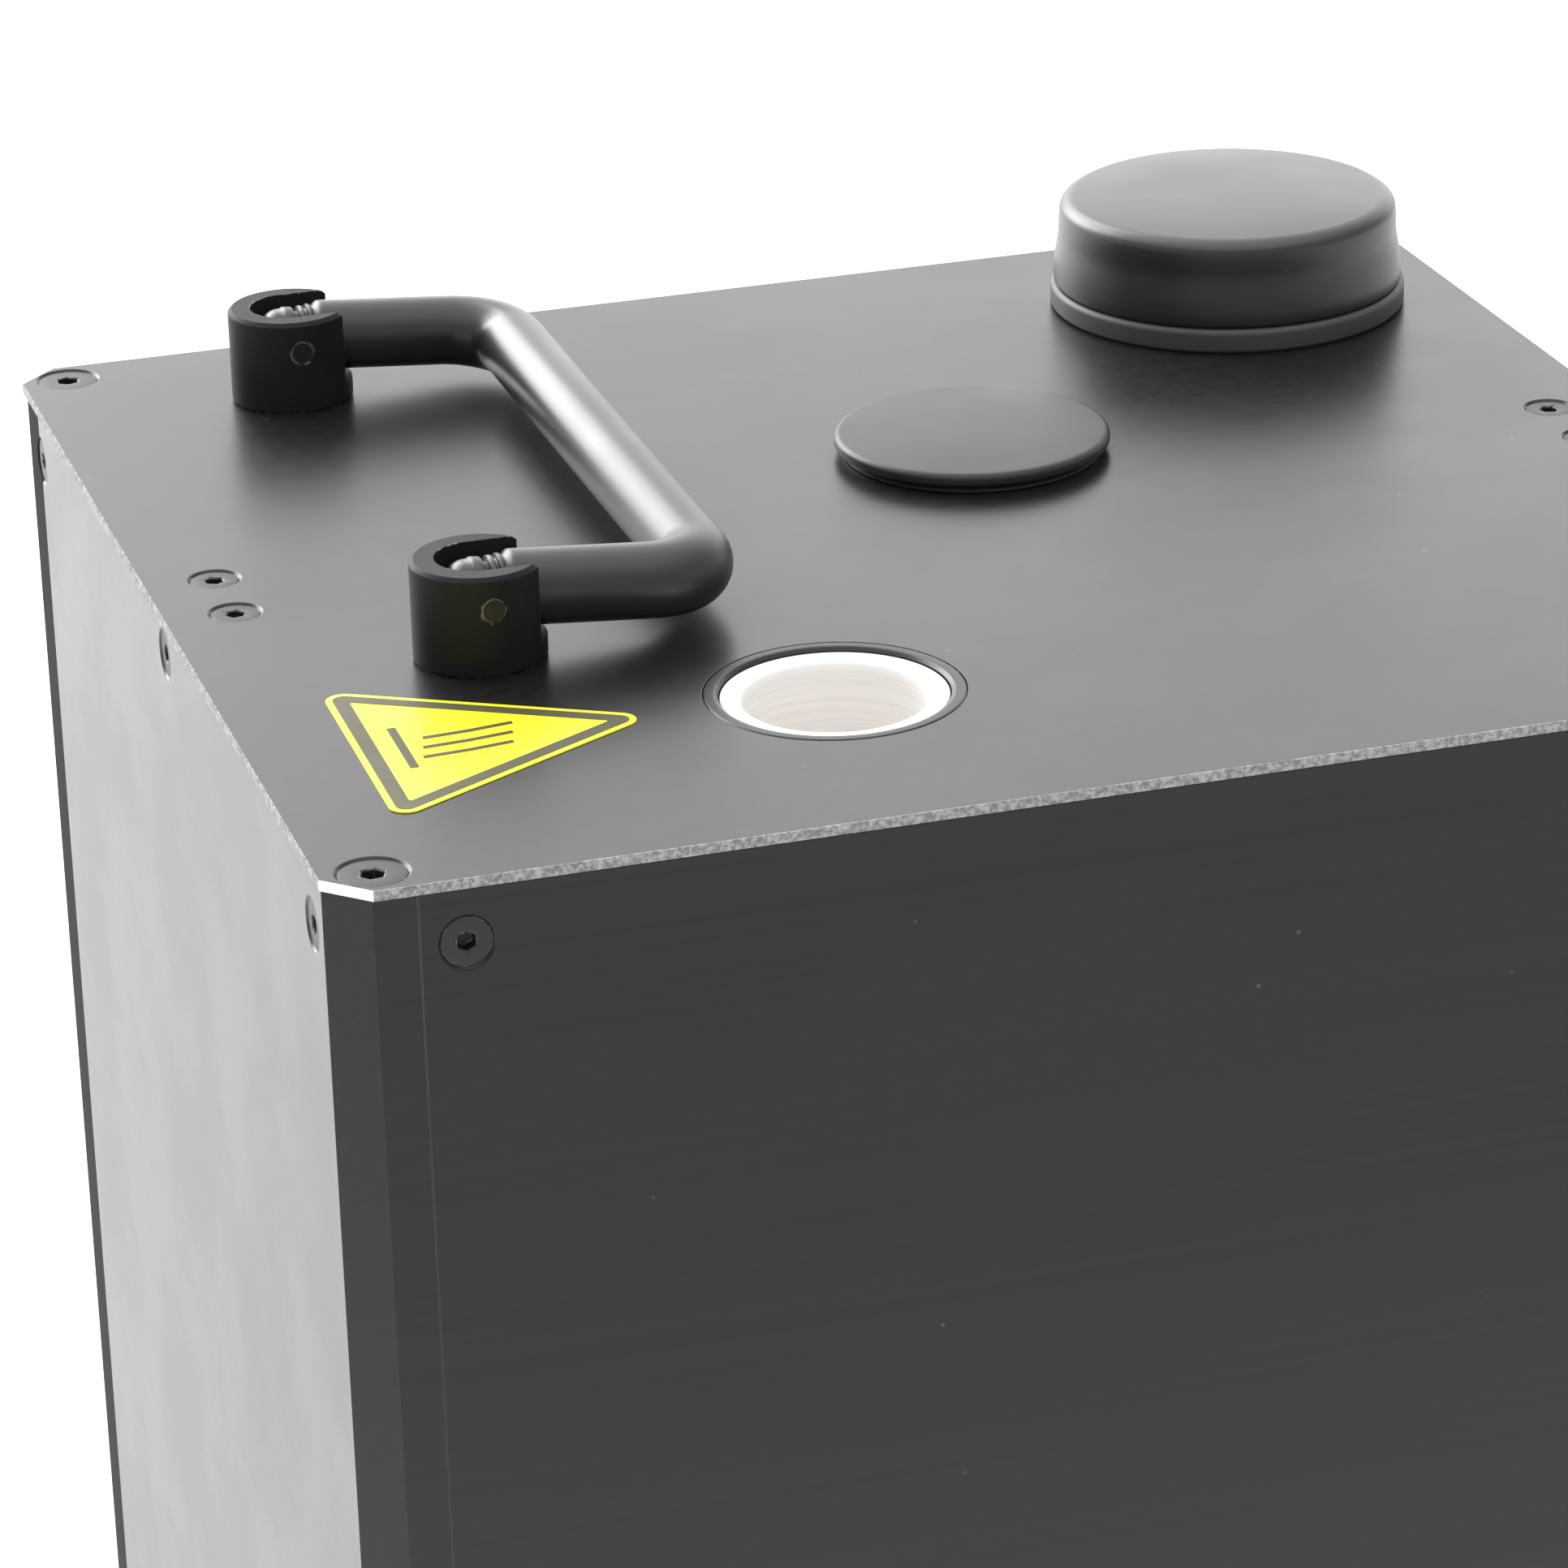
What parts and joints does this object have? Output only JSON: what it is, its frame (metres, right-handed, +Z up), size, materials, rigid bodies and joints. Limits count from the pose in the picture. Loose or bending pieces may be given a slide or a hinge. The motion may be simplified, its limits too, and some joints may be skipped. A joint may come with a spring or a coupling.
{
  "type": "fog machine",
  "caption": "Upright fluid fog machine: black sheet case with a white chimney outlet, filler cap, plugged port and folding handle on top, controls at the rear.",
  "frame": {"origin": "under the middle of the whole object, knob included, in the plane that the feet stand on", "axes": "+Z up, +Y towards the rear control panel, +X to the right seen from the front"},
  "size_m": [0.193, 0.201, 0.3158],
  "materials": {
    "anodised_sheet": "black anodised, fine satin with bare cut edges",
    "bare_aluminium": "mill finish",
    "black_steel": "black oxide",
    "zinc_steel": "zinc plated",
    "post_coating": "satin black coating, worn at the edges",
    "handle_nylon": "moulded, slightly polished by use",
    "ring_plastic": "satin",
    "outlet_white": "turned fluoropolymer",
    "brass": "turned",
    "insulation": "needled glass fibre",
    "cap_plastic": "fine moulded texture",
    "collar_plastic": "satin",
    "seal_rubber": "matt",
    "foot_rubber": "matt",
    "plug_plastic": "soft satin",
    "tank_plastic": "natural polyethylene",
    "hose_plastic": "smooth tube",
    "sensor_plastic": "moulded",
    "coil_copper": "varnished winding in a frame",
    "thermostat_plastic": "phenolic",
    "board_green": "solder mask",
    "transformer_steel": "varnished laminations",
    "moulded_black": "moulded",
    "knob_plastic": "fluted, moulded",
    "rocker_red": "smooth",
    "button_green": "smooth",
    "socket_metal": "satin",
    "nickel": "dull nickel",
    "label_yellow": "printed film",
    "label_print": "print"
  },
  "bodies": {
    "casing": {"top_plate": "anodised_sheet", "front_panel": "anodised_sheet", "right_panel": "anodised_sheet", "rear_panel": "anodised_sheet", "left_panel": "anodised_sheet", "base_plate": "anodised_sheet", "corner_posts": "bare_aluminium", "side_brackets": "bare_aluminium", "outlet_socket": "bare_aluminium", "heater_core": "bare_aluminium", "heater_stand": "bare_aluminium", "tank_tray": "bare_aluminium", "pump_bracket": "bare_aluminium", "heat_sink": "bare_aluminium", "corner_screws": "black_steel", "case_screws": "black_steel", "hinge_pins": "black_steel", "foot_screws": "zinc_steel", "handle_nuts": "zinc_steel", "heater_coil": "zinc_steel", "heater_cartridge": "zinc_steel", "heater_shield": "zinc_steel", "pump_body": "zinc_steel", "pump_spring": "zinc_steel", "handle_post_front": "post_coating", "handle_post_rear": "post_coating", "outlet_ring": "ring_plastic", "outlet_tube": "outlet_white", "nozzle": "brass", "board_spacers": "brass", "socket_pins": "brass", "insulation_jacket": "insulation", "filler_collar": "collar_plastic", "feet": "foot_rubber", "fluid_tank": "tank_plastic", "pickup_tube": "tank_plastic", "suction_hose": "hose_plastic", "pressure_hose": "hose_plastic", "level_sensor": "sensor_plastic", "pump_coil": "coil_copper", "thermal_cutout": "thermostat_plastic", "control_board": "board_green", "transformer": "transformer_steel", "mains_inlet": "moulded_black", "switch_frame": "moulded_black", "control_socket": "socket_metal", "remote_jack": "nickel", "button_bezel": "nickel", "potentiometer": "nickel", "caution_label": "label_yellow", "caution_mark": "label_print"},
    "handle": {"handle_bar": "handle_nylon"},
    "cap": {"filler_cap": "cap_plastic", "cap_seal": "seal_rubber"},
    "plug": {"port_plug": "plug_plastic"},
    "plunger": {"pump_plunger": "zinc_steel"},
    "drawer": {"fuse_drawer": "moulded_black"},
    "rocker": {"switch_rocker": "rocker_red"},
    "knob": {"output_knob": "knob_plastic"},
    "button": {"fog_button": "button_green"}
  },
  "joints": [
    {"name": "handle_fold", "type": "hinge", "parent": "casing", "child": "handle", "pos_m": [-0.0636, 0.0127, 0.3083], "axis": [0, -1, 0], "range_deg": [0, 95]},
    {"name": "cap_lift", "type": "slide", "parent": "casing", "child": "cap", "axis": [0, 0, 1], "range_m": [0, 0.05]},
    {"name": "plug_pull", "type": "slide", "parent": "casing", "child": "plug", "axis": [0, 0, 1], "range_m": [0, 0.03]},
    {"name": "pump_stroke", "type": "slide", "parent": "casing", "child": "plunger", "axis": [0, 0, -1], "range_m": [0, 0.003], "stiffness_N_per_m": 400, "springref_m": -0.003, "deforming": ["pump_spring"]},
    {"name": "fuse_slide", "type": "slide", "parent": "casing", "child": "drawer", "axis": [0, 1, 0], "range_m": [0, 0.012]},
    {"name": "power_rock", "type": "hinge", "parent": "casing", "child": "rocker", "pos_m": [-0.0645, 0.0842, 0.098], "axis": [1, 0, 0], "range_deg": [0, 16]},
    {"name": "output_turn", "type": "hinge", "parent": "casing", "child": "knob", "pos_m": [-0.0185, 0.0852, 0.122], "axis": [0, -1, 0], "range_deg": [0, 270]},
    {"name": "button_press", "type": "slide", "parent": "casing", "child": "button", "axis": [0, -1, 0], "range_m": [0, 0.0025], "stiffness_N_per_m": 300, "springref_m": -0.002}
  ]
}
